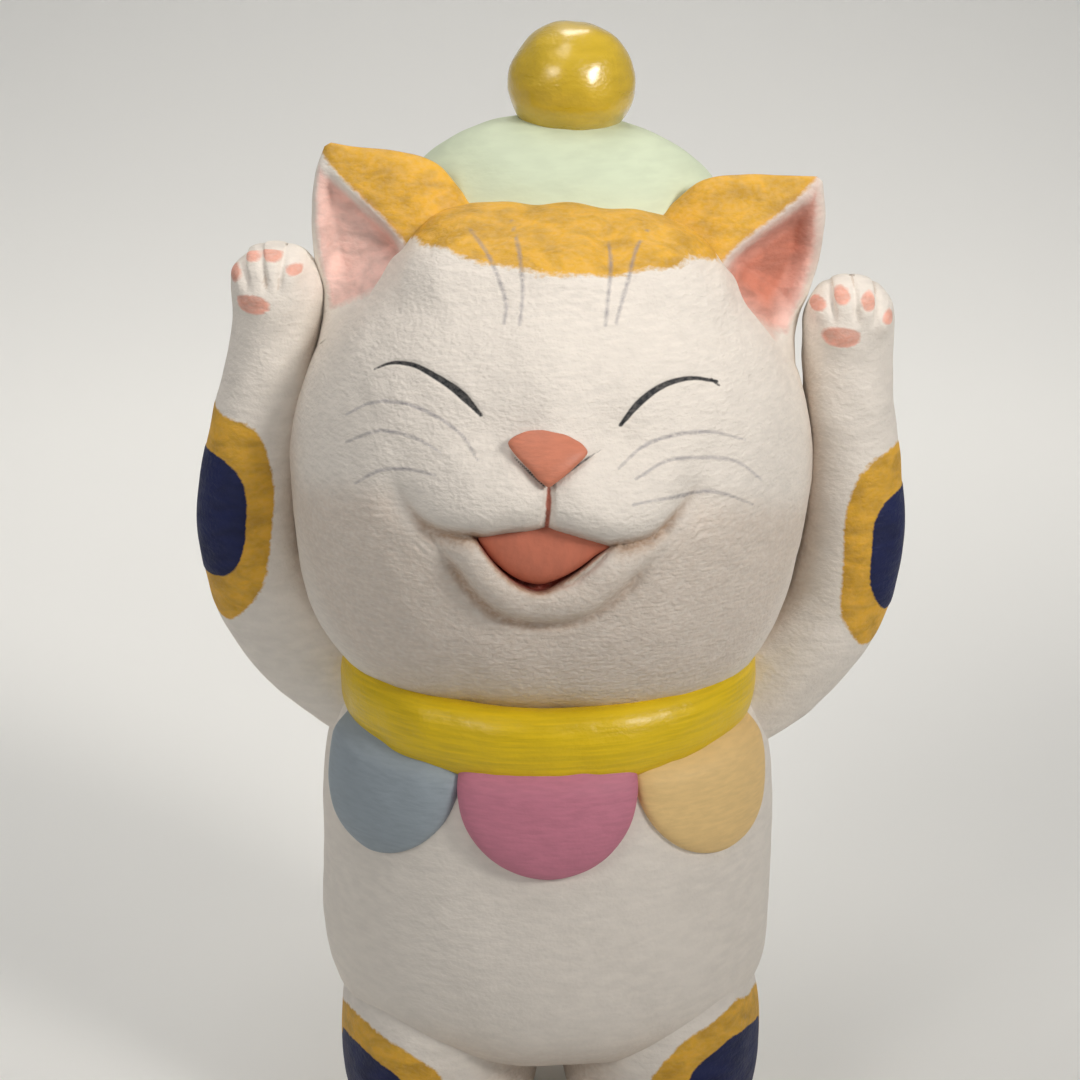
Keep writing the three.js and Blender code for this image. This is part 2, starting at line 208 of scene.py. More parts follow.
def ring_piece(name, points, material, stands_for):
    """A closed mesh over a grid that runs round both in its rows and in its columns."""
    rows, columns, _ = points.shape
    i, j = np.arange(rows)[:, None], np.arange(columns)[None, :]
    i2, j2 = (i + 1) % rows, (j + 1) % columns
    quads = np.stack([i * columns + j, i * columns + j2, i2 * columns + j2, i2 * columns + j],
                     -1).reshape(-1, 4)
    set_down(name, points.reshape(-1, 3), quads, np.zeros((0, 3), int), material, stands_for,
             {})


# %% [markdown]
# ## Paint
#
# Acrylic brushed over clay: a matte skin with fine strokes, thin places where the clay's warmth
# comes through, and soft ragged edges where two colours meet. One function paints every piece,
# because on the real cat one brush did. It takes the ground colour and a list of layers, each
# with the field that holds the distance to its edge. The strokes stand up as a low bump.

# %% colour and nodes
def linear(code):
    """An sRGB hex colour as linear red, green, blue and alpha."""
    parts = np.array([int(code[k:k + 2], 16) for k in (1, 3, 5)]) / 255
    low, high = parts / 12.92, ((parts + 0.055) / 1.055) ** 2.4
    return (*np.where(parts <= 0.04045, low, high), 1.0)


def lit(colour, share):
    """A linear colour made darker or lighter by a share, and never more than white."""
    return tuple(min(1.0, part * share) for part in colour[:3]) + (1.0,)


def add(tree, kind, inputs, out=0, **settings):
    """A new node, of which one output is given back. inputs go by name or number: a socket is
    linked, and any other value is set. settings are the node's own properties."""
    made = tree.nodes.new("ShaderNode" + kind)
    for key, value in settings.items():
        setattr(made, key, value)
    for key, value in inputs.items():
        if isinstance(value, bpy.types.NodeSocket):
            tree.links.new(value, made.inputs[key])
        else:
            made.inputs[key].default_value = value
    return made.outputs[out] if made.outputs else None


def bare(name):
    """A new material without nodes, and its tree."""
    material = bpy.data.materials.new(name)
    material.use_nodes = True
    material.node_tree.nodes.clear()
    return material, material.node_tree


def strokes(tree, pitch, detail=3.0, swirl=0.0):
    """Noise whose grains are as long as pitch, in millimetres, along x, y and z. swirl bends
    them, as a turning brush does."""
    place = add(tree, "TexCoord", {}, "Object")
    scale = tuple(1 / (p * MM) for p in pitch)
    spread = add(tree, "VectorMath", {0: place, 1: scale}, operation="MULTIPLY")
    return add(tree, "TexNoise", {"Vector": spread, "Scale": 1.0, "Detail": detail,
                                  "Distortion": swirl})


# %% [markdown]
# The clay's own grit is about 0.2 mm, which is too fine to show, so it is drawn at 0.85 mm. Clouds
# of 11 mm are where the coat is thicker, and streaks of 5 mm are the turns of the brush.

# %% paint
GRIT, CLOUD, STREAK = (0.85, 0.85, 0.6), (11, 11, 9), (5.0, 5.0, 2.4)


def paint(name, ground, layers=(), brush=(2.6, 2.6, 0.6), gloss=0.62, coat=0.0,
          mottle=0.045, relief=0.10, painted_shade="#b58c62", painted_shade_share=0.0, grit=2.0):
    """Brushed acrylic. brush is the size of a stroke along x, y and z in millimetres, mottle how
    much the coat's thickness shifts the colour, relief the height of the strokes in millimetres,
    and the brown of painted shade is multiplied in where the field of that name is high. A
    layer is (field, colour, edge softness, edge raggedness, patchiness), and covers where its
    field is under 0."""
    material, tree = bare(name)
    long, fine = strokes(tree, brush), strokes(tree, GRIT, 5.0)
    cloud, streak = strokes(tree, CLOUD, 2.0), strokes(tree, STREAK, 4.0, swirl=0.45)
    colour = linear(ground)
    thick = add(tree, "MapRange", {"Value": long, "From Min": 0.35, "From Max": 0.65})
    shade = add(tree, "Mix", {0: thick, 6: lit(colour, 1 - 1.6 * mottle),
                              7: lit(colour, 1 + mottle)}, 2, data_type="RGBA")
    thick = add(tree, "MapRange", {"Value": cloud, "From Min": 0.35, "From Max": 0.7,
                                   "To Max": 0.5})
    shade = add(tree, "Mix", {0: thick, 6: shade, 7: colour}, 2, data_type="RGBA")
    for key, layer_colour, soft, ragged, patchy in layers:
        edge = add(tree, "Attribute", {}, "Fac", attribute_name=key)
        for noise, share in ((fine, 2 * ragged), (long, ragged)):
            noise = add(tree, "Math", {0: noise, 1: 0.5}, operation="SUBTRACT")
            edge = add(tree, "Math", {0: noise, 1: share, 2: edge}, operation="MULTIPLY_ADD")
        cover = add(tree, "MapRange", {"Value": edge, "From Min": soft, "From Max": -soft})
        thin = add(tree, "MapRange", {"Value": fine, "From Min": 0.30, "From Max": 0.62,
                                      "To Min": 1 - patchy})
        cover = add(tree, "Math", {0: cover, 1: thin}, operation="MULTIPLY")
        tone = linear(layer_colour)
        turn = add(tree, "MapRange", {"Value": streak, "From Min": 0.34, "From Max": 0.62})
        tone = add(tree, "Mix", {0: turn, 6: lit(tone, 0.76), 7: lit(tone, 1.1)}, 2,
                   data_type="RGBA")
        shade = add(tree, "Mix", {0: cover, 6: shade, 7: tone}, 2, data_type="RGBA")
    # Painted shade: the brown is multiplied into the paint where the shade field is high, broken up
    # by the grit.
    if painted_shade_share:
        painted_shade_mask = add(tree, "Attribute", {}, "Fac", attribute_name="painted_shade")
        spots = add(tree, "MapRange", {"Value": fine, "From Min": 0.3, "From Max": 0.6,
                                       "To Min": 0.55})
        painted_shade_mask = add(tree, "Math", {0: painted_shade_mask, 1: spots}, operation="MULTIPLY")
        painted_shade_mask = add(tree, "Math", {0: painted_shade_mask, 1: painted_shade_share}, operation="MULTIPLY")
        shade = add(tree, "Mix", {0: painted_shade_mask, 6: shade, 7: linear(painted_shade)}, 2, data_type="RGBA",
                    blend_type="MULTIPLY")
    ridges = add(tree, "Math", {0: long, 1: streak}, operation="ADD")
    height = add(tree, "Math", {0: fine, 1: grit, 2: ridges}, operation="MULTIPLY_ADD")
    bump = add(tree, "Bump", {"Strength": 1.0, "Distance": relief * MM, "Height": height})
    rough = add(tree, "MapRange", {"Value": long, "From Min": 0.3, "From Max": 0.7,
                                   "To Min": gloss - 0.06, "To Max": gloss + 0.08})
    skin = add(tree, "BsdfPrincipled", {"Base Color": shade, "Roughness": rough, "IOR": 1.46,
                                        "Coat Weight": coat, "Coat Roughness": 0.2,
                                        "Normal": bump})
    add(tree, "OutputMaterial", {"Surface": skin})
    return material


WHITE, MUSTARD, NAVY, CORAL = "#ebe3d9", "#dfaa32", "#101b4c", "#cf8064"

# %% [markdown]
# ## The head
#
# The head is a ball of clay, fuller in the cheeks than in the brow. The laughing face is pressed
# and pushed out of it: two whisker pads, an open mouth under them, a lower lip like a thin roll
# and creases that run up into the cheeks. All of that is one height over the face's own plane,
# with u to the right and v up, so that the creases flow into each other as they do in clay. The
# grid is fine in front, where a whisker is half a millimetre wide, and coarse behind.

# %% lines of the face
FACE_UP = np.array([0, math.sin(FACE_PITCH), math.cos(FACE_PITCH)])
FACE_OUT = np.array([0, -math.cos(FACE_PITCH), math.sin(FACE_PITCH)])

# The lower edge of the whisker pads, from the left cheek over both pads to the right cheek.
PAD_EDGE = ([-24, -20.7, -17.3, -14, -10.5, -7, -3.8, -0.8, 2, 5.8, 9.2, 11.7, 14.5, 18, 21.5],
            [-4, -9, -11.7, -12.4, -12.4, -11.7, -11.2, -10.6, -11.2, -12.1, -12.6, -12.2, -11,
             -7.3, -3])
MOUTH_LOW = ([-11.6, -9.6, -6.9, -4, -0.8, 1.8, 4.4, 6.8, 9.6],
             [-12.3, -15, -17.8, -19.7, -20.4, -18.9, -16.9, -14.7, -12.5])
LIP_LINE = [(-14.9, -12.7), (-13.6, -14.1), (-11.5, -16.4), (-9.2, -19.2), (-5.9, -21.6),
            (-0.5, -22.7), (4.9, -21.2), (8.7, -18.0), (11.6, -14.9), (13.9, -12.6)]
SMILE_ENDS = [(-22.0, -8.0), (20.2, -5.8)]
EYES = [([(-27.1, 11.1), (-24.7, 12.0), (-21.8, 11.9), (-17.7, 10.1), (-14.2, 7.9), (-11.0, 4.9)],
         (0.25, 0.6, 0.75, 0.95, 1.2, 0.55)),
        ([(9.0, 4.6), (11.4, 7.8), (15.4, 10.9), (19.4, 12.0), (22.8, 11.8)],
         (0.6, 1.05, 0.85, 0.65, 0.45)),
        ([(22.0, 12.0), (23.2, 11.2)], (0.5, 0.3))]
WHISKERS = [[(-31.1, 4.3), (-27.8, 5.9), (-22.8, 6.2), (-17.6, 4.5), (-13.0, 1.3), (-11.1, -1.6)],
            [(-30.8, 0.2), (-25.5, 2.0), (-19.8, 1.0), (-16.3, -0.9)],
            [(-29.0, -5.8), (-25.8, -3.9), (-21.7, -3.3), (-17.1, -4.0)],
            [(8.9, -1.7), (12.4, 1.7), (17.3, 3.7), (22.5, 4.4), (27.6, 3.6)],
            [(11.4, -3.1), (15.6, -0.3), (21.0, 0.6), (26.4, 0.4), (30.6, -2.0)],
            [(11.2, -6.7), (17.4, -5.2), (23.0, -4.2), (29.5, -5.7)]]
BROW_STROKES = [[(-13.1, 30.1), (-11.1, 27.7), (-9.3, 24.3), (-8.3, 21.2), (-8.5, 18.5)],
                [(-7.9, 33.3), (-6.5, 27.8), (-6.0, 23.8), (-6.2, 18.3)],
                [(6.1, 31.2), (6.4, 28.6), (6.4, 24.5), (6.2, 19.0)],
                [(11.8, 32.7), (10.2, 30.1), (8.9, 24.7), (7.7, 19.4)]]
PHILTRUM = [(-0.9, -3.4), (-0.75, -7.5), (-0.8, -10.6)]
NOSE_CREASES = [([(-5.9, -1.0), (-3.6, -3.0), (-1.4, -4.8)], (0.35, 0.55, 0.45)),
                ([(-0.6, -4.5), (2.0, -2.4), (4.4, -0.5), (6.4, 0.9)], (0.35, 0.5, 0.45, 0.15))]
PATCH_EDGE = 33.0               # height of the mustard patch's front edge over the head's centre
MOUTH_DEPTH = 3.6
PAD_SWELL = 3.7
print(len(WHISKERS), "whiskers,", len(BROW_STROKES), "brow strokes")

# %% [markdown]
# The relief adds up from pads, creases, mouth, lip and nose bridge. Most of its numbers are
# widths and heights in millimetres: a bell is a swelling or a groove of that width, and a smooth
# step fades one form into the next.

# %% relief of the face
def mouth_inside(u, v):
    """How far a place is inside the open mouth, in millimetres up or down, or less than 0."""
    inside = np.minimum(through(*PAD_EDGE, u) - v, v - through(*MOUTH_LOW, u))
    return np.where((u > MOUTH_LOW[0][0]) & (u < MOUTH_LOW[0][-1]), inside, -1.0)


def face_relief(u, v):
    """The face's height over the plain head, in millimetres, and how much painted shade it gets."""
    over = v - through(*PAD_EDGE, u)
    side = np.abs(u + 0.6)
    # Whisker pads: a quick round rise from the edge, then a long fade towards the eyes.
    rise = np.sqrt(np.clip(1 - (1 - np.clip(over / 3.4, 0, 1)) ** 2, 0, 1))
    swell = PAD_SWELL * (1 - smooth(9, 23.5, side)) * (0.86 + 0.14 * smooth(0, 6, side))
    height = swell * rise * (1 - smooth(3, 15.5, over))
    # The philtrum parts the pads, and the smile crease runs on from their edge.
    groove = stroke(u, v, PHILTRUM, (0.7, 1.0, 1.1))
    height -= 1.1 * (1 - smooth(-0.3, 0.7, groove)) + 0.5 * bell(np.maximum(groove, 0), 2.2) * rise
    crease = np.where(over < 0, bell(over, 1.9), bell(over, 0.8))
    crease *= smooth(8.5, 11, side) * (1 - smooth(16.5, 22.5, side))
    height -= (1.25 - 0.3 * smooth(0, 8, u)) * crease
    # Cheeks swell beside the smile's ends, and the ends are pressed in.
    for end_u, end_v in SMILE_ENDS:
        away = np.hypot(u - end_u * 1.2, (v - end_v + 5) * 0.9)
        height += 1.35 * bell(away, 8.5)
        height -= 0.9 * bell(np.hypot(u - end_u, v - end_v), 2.8)
    # Mouth, lower lip and the groove under it.
    inside = mouth_inside(u, v)
    from_lip = stroke(u, v, LIP_LINE, (0, 0))
    lip_u, lip_v = zip(*LIP_LINE)
    above = smooth(-0.6, 0.6, v - through(lip_u, lip_v, u))
    ends = smooth(0, 5, 15.6 - side)
    lip = np.sqrt(np.clip(1 - (from_lip / (2.15 + 1.0 * above)) ** 2, 0, 1))
    height += (1.1 + 1.3 * ends) * lip * smooth(0.6, -1.0, over)
    under = bell(from_lip - 2.6, 0.75) * (1 - above) * smooth(-0.5, -3, over)
    under *= (0.6 + 0.4 * smooth(6, -4, u)) * (1 - smooth(12.5, 16, side))
    height -= 1.25 * under
    below = smooth(1.5, 3.5, from_lip) * (1 - above) * (1 - smooth(12, 17, side))
    height -= 0.7 * bell(from_lip - 3.5, 3.2) * below * smooth(-1, -4, over)
    height -= MOUTH_DEPTH * smooth(-0.15, 0.9, inside)
    # Nose bridge, the hollows beside it and the shallow bed of each eye.
    height += 0.9 * bell(u, 4.5) * smooth(-4, 3, v) * (1 - smooth(5, 20, v))
    for eye_side in (-1, 1):
        height -= 0.7 * bell(np.hypot(u + 0.8 - eye_side * 9, v - 3), 4.5)
    # Pressed skin: broken ripples in the cheeks under the smile, and others beside the lip.
    plane = np.stack([u, v, 0 * u], -1)
    bend, where = lumps(plane, 7, 91), np.clip(0.4 + 0.8 * lumps(plane, 5, 92), 0, 1)
    cheek = (smooth(-0.6, -2.2, over) * (1 - smooth(6, 12, -over)) * smooth(12, 16, side)
             * (1 - smooth(25, 31, side)))
    height += 0.11 * np.sin(over * 4.4 + 4 * bend) * where * cheek
    beside = smooth(3, 4.4, from_lip) * (1 - smooth(6, 11, from_lip)) * smooth(4, 9, side)
    height += 0.06 * np.sin(from_lip * 5.6 + 5 * bend) * where * beside * (1 - above)
    # Painted shade: brown where shade falls, in the smile creases, in the groove under the lip, in
    # the open mouth and low on the face below the pads.
    painted_shade = np.clip(0.9 * crease + 0.55 * under
                   + 0.7 * np.clip(inside + 0.8, 0, 1) + 0.34 * smooth(0.5, -6, over), 0, 1)
    return height, painted_shade


# %% [markdown]
# The plain head is a formula that gives its surface in any direction, so the ears can be laid on
# the same skin. Its grid turns about the face, and the relief pushes it along the face's axis.

# %% head
def steps(*parts):
    """Angles in degrees: parts are (start, end, count), joined end to end."""
    return np.radians(np.concatenate([np.linspace(a, b, n, endpoint=False) for a, b, n in parts]))


CHIN_DROP = 0.10               # how much longer the head is below its centre, as a share


def head_skin(direction):
    """The plain head's surface in a direction from its centre: an oval ball whose lower half
    has a squarer outline, which makes the cheeks full."""
    x, y, z = np.moveaxis(unit(direction), -1, 0)
    power = 2 + 0.65 * smooth(0.05, -0.55, z)
    tall = HEAD[2] * (1 + CHIN_DROP * smooth(0, -1, z))
    flat = (np.abs(x / HEAD[0]) ** power + np.abs(z / tall) ** power) ** (2 / power)
    return unit(direction) / np.sqrt(flat + (y / HEAD[1]) ** 2)[..., None]


def off_patch(points):
    """How far a place is outside the mustard patch. Its front edge is wavy, and it climbs
    behind the crown, so that no mustard shows under the hat."""
    y, z = points[..., 1], points[..., 2]
    return PATCH_EDGE - z + 12 * smooth(0, 20, y) + 0.35 * lumps(points, 7, 3)


around = steps((-62, 62, 296), (62, 298, 52))
rising = steps((-88.5, -46, 15), (-46, 50, 224), (50, 90, 12))[:, None]
facing = (np.cos(rising) * np.sin(around))[..., None] * np.array([1.0, 0, 0])
facing = facing + np.sin(rising + 0 * around)[..., None] * FACE_UP
facing = facing + (np.cos(rising) * np.cos(around))[..., None] * FACE_OUT
skin = head_skin(facing)
u, v, w = skin[..., 0], skin @ FACE_UP, skin @ FACE_OUT
raised, painted_shade = face_relief(u, v)
front = smooth(4, 14, w)
clay = 0.22 * lumps(skin, 15, 1) + 0.07 * lumps(skin, 5, 2)
eye_line = np.minimum.reduce([stroke(u, v, line, width) for line, width in EYES])
nose_line = np.minimum.reduce([stroke(u, v, line, width) for line, width in NOSE_CREASES])
raised = raised - 0.3 * (1 - smooth(-0.3, 0.35, eye_line))
raised = raised - 0.4 * (1 - smooth(-0.3, 0.4, nose_line))
aside = np.abs(skin[..., 0])
crown = smooth(29.5, 36, skin[..., 2] + 0.32 * np.clip(aside - 9, 0, 14))
crown *= smooth(10, -5, skin[..., 1]) * (1 - smooth(16, 31, aside))
crown *= 1.8 + 1.7 * smooth(6, 18, aside) + 0.45 * lumps(skin, 8, 4)
head_points = (skin + facing * (clay + crown)[..., None]
               + FACE_OUT * (raised * front)[..., None])
pencil = np.minimum.reduce([stroke(u, v, line, (0.2, 0.42, 0.42, 0.2)) for line in WHISKERS])
brow = np.minimum.reduce([stroke(u, v, line, (0.3, 0.5, 0.4, 0.3)) for line in BROW_STROKES])
behind = np.where(w > 0, 0, 50.0)
# The arms' shadow on the sides of the head is painted, and it is added to the face's painted shade.
arm_shadow = smooth(0.93, 1.0, np.abs(unit(skin)[..., 0]))
head_fields = {
    "mustard": off_patch(skin),
    "ink": np.minimum(eye_line, nose_line + 0.08) + behind,
    "pencil": pencil + behind,
    "brow": brow + behind,
    "coral": stroke(u, v, PHILTRUM, (0.25, 0.75, 0.6)) + behind,
    "red": np.where(front > 0.5, 0.35 - mouth_inside(u, v), 9.0),
    "painted_shade": np.clip(painted_shade * front + 0.35 * arm_shadow, 0, 1),
}
# A level matte white that looks chalky and hand-brushed. Brown shade is painted into the
# creases, the mouth, the lower face and beside the arms, which deepens the smile, and the
# pencil lines are thin and broken, so they look drawn by hand.
head_paint = paint(
    "white acrylic brushed level over clay", WHITE,
    [("mustard", MUSTARD, 0.25, 0.55, 0.1), ("brow", "#8f8a92", 0.25, 0.35, 0.8),
     ("pencil", "#84808a", 0.22, 0.3, 0.8), ("coral", "#b5654f", 0.12, 0.12, 0.1),
     ("red", "#a8493c", 0.2, 0.15, 0.15), ("ink", "#1b1e24", 0.10, 0.06, 0.12)],
    relief=0.14, painted_shade_share=0.8)
piece("head_skin", leaned(head_points), head_paint, ["head", "muzzle", "lower_lip"],
      head_fields)

# %% [markdown]
# ## Nose and tongue
#
# Both are small cushions of clay, pressed on. A cushion is an outline that shrinks towards its
# middle while it rises, on both sides, so it closes on itself. The back half is sunk in the
# head. The outline is a smooth closed line through a few points in the face's plane.

# %% nose and tongue
def closed_line(points, steps):
    """A smooth closed line through points, in even steps, without a corner where it joins."""
    points = np.array(points, float)
    ring = np.vstack([points[-3:], points, points[:3]])
    run = np.concatenate([[0], np.cumsum(np.linalg.norm(np.diff(ring, axis=0), axis=1))])
    at = np.linspace(run[3], run[-3], steps, endpoint=False)
    return np.stack([through(run, ring[:, k], at) for k in (0, 1)], -1)


def cushion(outline, middle, rows, fullness=1.0):
    """Places in the outline's plane and heights from -1 to 1 over it. From row to row the
    outline shrinks like a cosine while the height grows like a sine to the power fullness."""
    tilt = np.linspace(-90, 90, rows + 2)[1:-1, None] * math.pi / 180
    share = np.cos(tilt) ** 0.8
    spot = np.array(middle) + share[..., None] * (outline - np.array(middle))
    height = np.sign(tilt) * np.abs(np.sin(tilt)) ** fullness
    return spot[..., 0], spot[..., 1], height + 0 * spot[..., 0]


def face_depth(u, v):
    """How far out the plain head is at u, v, found by halving the range that holds it."""
    low, high = np.zeros(np.shape(u)), np.full(np.shape(u), 50.0)
    for _ in range(26):
        middle = (low + high) / 2
        spot = face_point(u, v, middle)
        inside = np.linalg.norm(spot, axis=-1) < np.linalg.norm(head_skin(spot), axis=-1)
        low, high = np.where(inside, middle, low), np.where(inside, high, middle)
    return low


def face_point(u, v, w):
    """The place that is u to the right, v up and w out in the face's own axes."""
    return (u[..., None] * np.array([1.0, 0, 0]) + v[..., None] * FACE_UP
            + w[..., None] * FACE_OUT)


NOSE = closed_line([(-6.9, 1.3), (-4.9, 2.7), (-1.6, 3.2), (1.9, 2.4), (4.4, 0.5), (2.7, -1.8),
                    (0.1, -4.2), (-0.9, -4.9), (-1.9, -4.3), (-4.9, -1.6)], 72)
u, v, height = cushion(NOSE, (-1.4, -0.2), 26, 1.0)
nose = face_point(u, v, face_depth(u, v) + 0.5 + 2.9 * smooth(4.5, -5.5, v) + 1.2 * height)
# A little smoother than the white, so that the nose catches one soft light.
coral_paint = paint("coral acrylic with thin strokes", CORAL, [], brush=(2.2, 2.2, 0.5),
                    gloss=0.5, mottle=0.09, relief=0.04)
piece("nose_cushion", leaned(nose + 0.08 * lumps(nose, 3, 5)[..., None]), coral_paint, ["nose"])

TONGUE = closed_line([(-10.6, -12.4), (-9.3, -14.7), (-6.7, -17.1), (-3.9, -18.6), (-1.2, -19.0),
                      (1.5, -18.0), (4.1, -16.4), (6.6, -14.3), (8.9, -12.5), (6.0, -10.4),
                      (-0.5, -9.2), (-7.5, -10.4)], 96)
u, v, height = cushion(TONGUE, (-0.4, -13.5), 26, 0.8)
tongue = face_point(u, v, face_depth(u, v) - 2.4 + 1.7 * height + 0.5 * bell(v + 16, 4))
# Strokes run down the tongue, which makes it look long and soft.
tongue_paint = paint("coral acrylic, brushed along the tongue", "#cf7a60", [],
                     brush=(1.3, 3.0, 3.0), gloss=0.55, mottle=0.06, relief=0.04)
piece("tongue_cushion", leaned(tongue), tongue_paint, ["tongue"])

# %% [markdown]
# ## Ears
#
# Each ear is a flattened cone of clay, smoothed on to the head with a thumb. It is a stack of
# rings. Above, each ring is an oval between the ear's inner and outer edge. The lowest rings
# bend outwards along a curve until they lie on the head, which is the thumbed joint. The front is
# scooped out beside a ridge that runs from the tip to the brow, and the scoop is painted pink.

# %% ears
EAR_FOOT, EAR_TILT, EAR_HIGH = (24.5, 27.0), math.radians(34), 23.6
EAR_INNER = ([-6, 0, 8, 13, 17, 21, 23.6], [-15.5, -15.2, -14.8, -13.4, -9.6, -4.2, -0.9])
EAR_OUTER = ([-6, 0, 5, 11, 17, 21, 23.6], [13.5, 12.6, 11.4, 9.4, 6.2, 3.2, 0.2])
EAR_DEPTH = ([-6, 0, 6, 13, 19, 23.6], [8.6, 8.2, 6.8, 4.4, 2.4, 0.6])
SCOOP = 4.0
TIP_SHIFT = 1.0                 # both tips stand a little to the right
SKIRT_HIGH = 6.5                # below this height the rings bend out on to the head
# The darker pink in the ears is painted shade in their hollows.
DEEP_PINK = {-1: 2.0, 1: 12.0}  # how far from the ridge the darker pink reaches at the foot


def ear(side):
    """Rings round one ear, in the head's own frame, with the distances to its painted edges."""
    turn = np.linspace(0, 2 * math.pi, 180, endpoint=False)
    foot = np.array([side * EAR_FOOT[0], 0, EAR_FOOT[1]])
    out = np.array([side * math.sin(EAR_TILT), 0, math.cos(EAR_TILT)])
    across = np.array([side * math.cos(EAR_TILT), 0, -math.sin(EAR_TILT)])

    def ring(h, grow=1.0):
        inner, outer = through(*EAR_INNER, h), through(*EAR_OUTER, h)
        shift = side * TIP_SHIFT * (h / EAR_HIGH) ** 2
        s = (inner + outer) / 2 + grow * (outer - inner) / 2 * np.cos(turn) + shift
        y = -grow * through(*EAR_DEPTH, h) * np.sin(turn)
        return s, y, h + 0 * turn

    def place(s, y, h):
        return foot + s[..., None] * across + h[..., None] * out + y[..., None] * [0, 1.0, 0]

    def edges(h):
        """Where the front ridge and the outer rim are across the ear, at a height."""
        return -4.6 + 4.6 * smooth(4, 24, h), through(*EAR_OUTER, h) - 1.1

    free_part = EAR_HIGH - SKIRT_HIGH - 0.05
    s, y, h = ring(SKIRT_HIGH + free_part * np.linspace(0, 1, 84)[:, None] ** 0.9)
    ridge, rim = edges(h)
    hollow = (smooth(0, 3.6, s - ridge) * smooth(0, 3.8, rim - s) * smooth(23.4, 18, h)
              * smooth(0.15, 0.5, np.sin(turn)))
    free = place(s, y + SCOOP * hollow * through([0, 6, 16, 25], [1, 1, 0.75, 0.2], h), h)
    base, wide = head_skin(place(*ring(0.0, 1.4))), head_skin(place(*ring(0.0, 1.16)))
    near = place(*ring(3.4))
    q = np.linspace(0, 1, 16, endpoint=False)[:, None, None]
    skirt = ((1 - q) ** 3 * base * 0.994 + 3 * q * (1 - q) ** 2 * wide * 1.002
             + 3 * q * q * (1 - q) * near + q ** 3 * free[0])
    points = np.concatenate([skirt, free])
    s, h, y = (points - foot) @ across, (points - foot) @ out, points[..., 1]
    ridge, rim = edges(h)
    face = np.where(y < 2, 0, 30.0)
    pink = np.maximum(np.maximum(ridge + 1.7 - s, s - rim + 0.3), 2.5 - h) + face
    # The darker pink is painted shade in the outer part of the hollow.
    deep = np.maximum(pink, s - ridge - DEEP_PINK[side] + 0.45 * np.maximum(h - 7, 0))
    mustard = np.maximum(np.minimum(s - ridge, 1.5 - y), off_patch(points))
    soft = 0.2 * lumps(points, 13, 7 + side)[..., None] + 0.07 * lumps(points, 4, 8)[..., None]
    points = points + unit(points) * soft
    # Painted shade: a little brown in the scooped hollow.
    shade = smooth(0.2, 1, np.concatenate([np.zeros(skirt.shape[:2]), hollow]))
    return points, {"mustard": mustard, "pink": pink, "deep": deep, "painted_shade": 0.2 * shade}


# The darker pink is painted shade: it fades in over 5 mm, so the hollow looks deeper than it is.
ear_paint = paint(
    "white acrylic ear with a pink hollow", WHITE,
    [("mustard", MUSTARD, 0.3, 0.55, 0.1), ("pink", "#f0c8bd", 0.5, 0.5, 0.1),
     ("deep", "#cf836c", 2.6, 0.4, 0.0)], brush=(3.2, 3.2, 1.6), painted_shade_share=0.5)
for name, side in (("left", -1), ("right", 1)):
    points, fields = ear(side)
    piece("ear_shell_" + name, leaned(points), ear_paint, ["ear_" + name], fields)

# %% [markdown]
# ## Hat and ball
#
# The hat is a smooth dome, painted a pale mint. The ball on it was rolled between the palms, so
# it has soft flats, and a glossy yellow varnish lies on its brush strokes.

# %% hat and ball
HAT, HAT_AT = (27.0, 18.5, 20.0), np.array([0, 13.0, 32.0])


def ball(size, rows, columns, low=-90.0, power=2.0):
    """Directions of a globe from a low latitude up, and the points of an oval ball on them."""
    rise = np.radians(np.linspace(low, 90, rows + 1)[:-1] + 0.4)[:, None]
    turn = np.linspace(0, 2 * math.pi, columns, endpoint=False)
    way = np.stack([np.cos(rise) * np.sin(turn), -np.cos(rise) * np.cos(turn),
                    np.sin(rise) + 0 * turn], -1)
    long = (np.abs(way / np.array(size)) ** power).sum(-1, keepdims=True) ** (-1 / power)
    return way, way * long


way, dome = ball(HAT, 120, 200, low=-50, power=2.1)
dome = dome + HAT_AT + way * (0.25 * lumps(dome, 16, 11) + 0.06 * lumps(dome, 5, 12))[..., None]
# Hardly any relief or mottle: a flat, milky skin beside the rougher white.
hat_paint = paint("pale mint acrylic, brushed flat", "#d0dbc0", [], brush=(4, 4, 1.0),
                  gloss=0.6, mottle=0.03, relief=0.05, grit=0.8)
piece("hat_dome", leaned(dome), hat_paint, ["hat"])

way, globe = ball(half_mm("hat_ball"), 110, 150)
uneven = 0.18 * lumps(globe, 11, 13) + 0.10 * lumps(globe, 4, 14)
globe = globe * [0.985, 0.985, 0.94] + way * uneven[..., None] + BALL_AT
# The varnish gives tighter lights over the blurred ones of the paint under it.
ball_paint = paint("yellow acrylic under a gloss varnish", "#cfae26", [], brush=(5, 5, 1.6),
                   gloss=0.32, coat=1.0, mottle=0.07, relief=0.07)
piece("hat_globe", globe, ball_paint, ["hat_ball"])

# %% [markdown]
# ## Arms
#
# An arm is a clay sausage on a wire, bent at the elbow and pressed against the cheek. It is a
# ring carried along a path whose radius narrows to the wrist. The paw at its end is half a ball,
# with toes raised by a low height over it and the pads painted in coral. The patches at the
# elbow are ovals in the unrolled skin of the arm: length along it, and way round it.

# %% arms
ARM_PATH = [(21, 3.0, -46), (31.5, 3.0, -39.5), (40.2, 3.0, -32.2), (45.6, 3.0, -24),
            (47.9, 2.8, -14), (47.3, 2.2, -3), (45.8, 1.2, 7.5), (44.5, 0.4, 16.5), (44.1, 0, 24.2)]
ARM_RADIUS = ([-46, -36, -24, -12, 0, 9, 16, 24.2], [8.8, 8.8, 8.5, 8.3, 7.9, 7.3, 7.0, 7.3])
PAW_TOP = 7.6                   # how far the paw rounds over beyond the end of the path
ARM_SHIFT = 0.7                 # both arms stand a little to the right
PATCH_FORWARD = {-1: 2.8, 1: 0.4}   # how far a patch is turned to the front, in millimetres
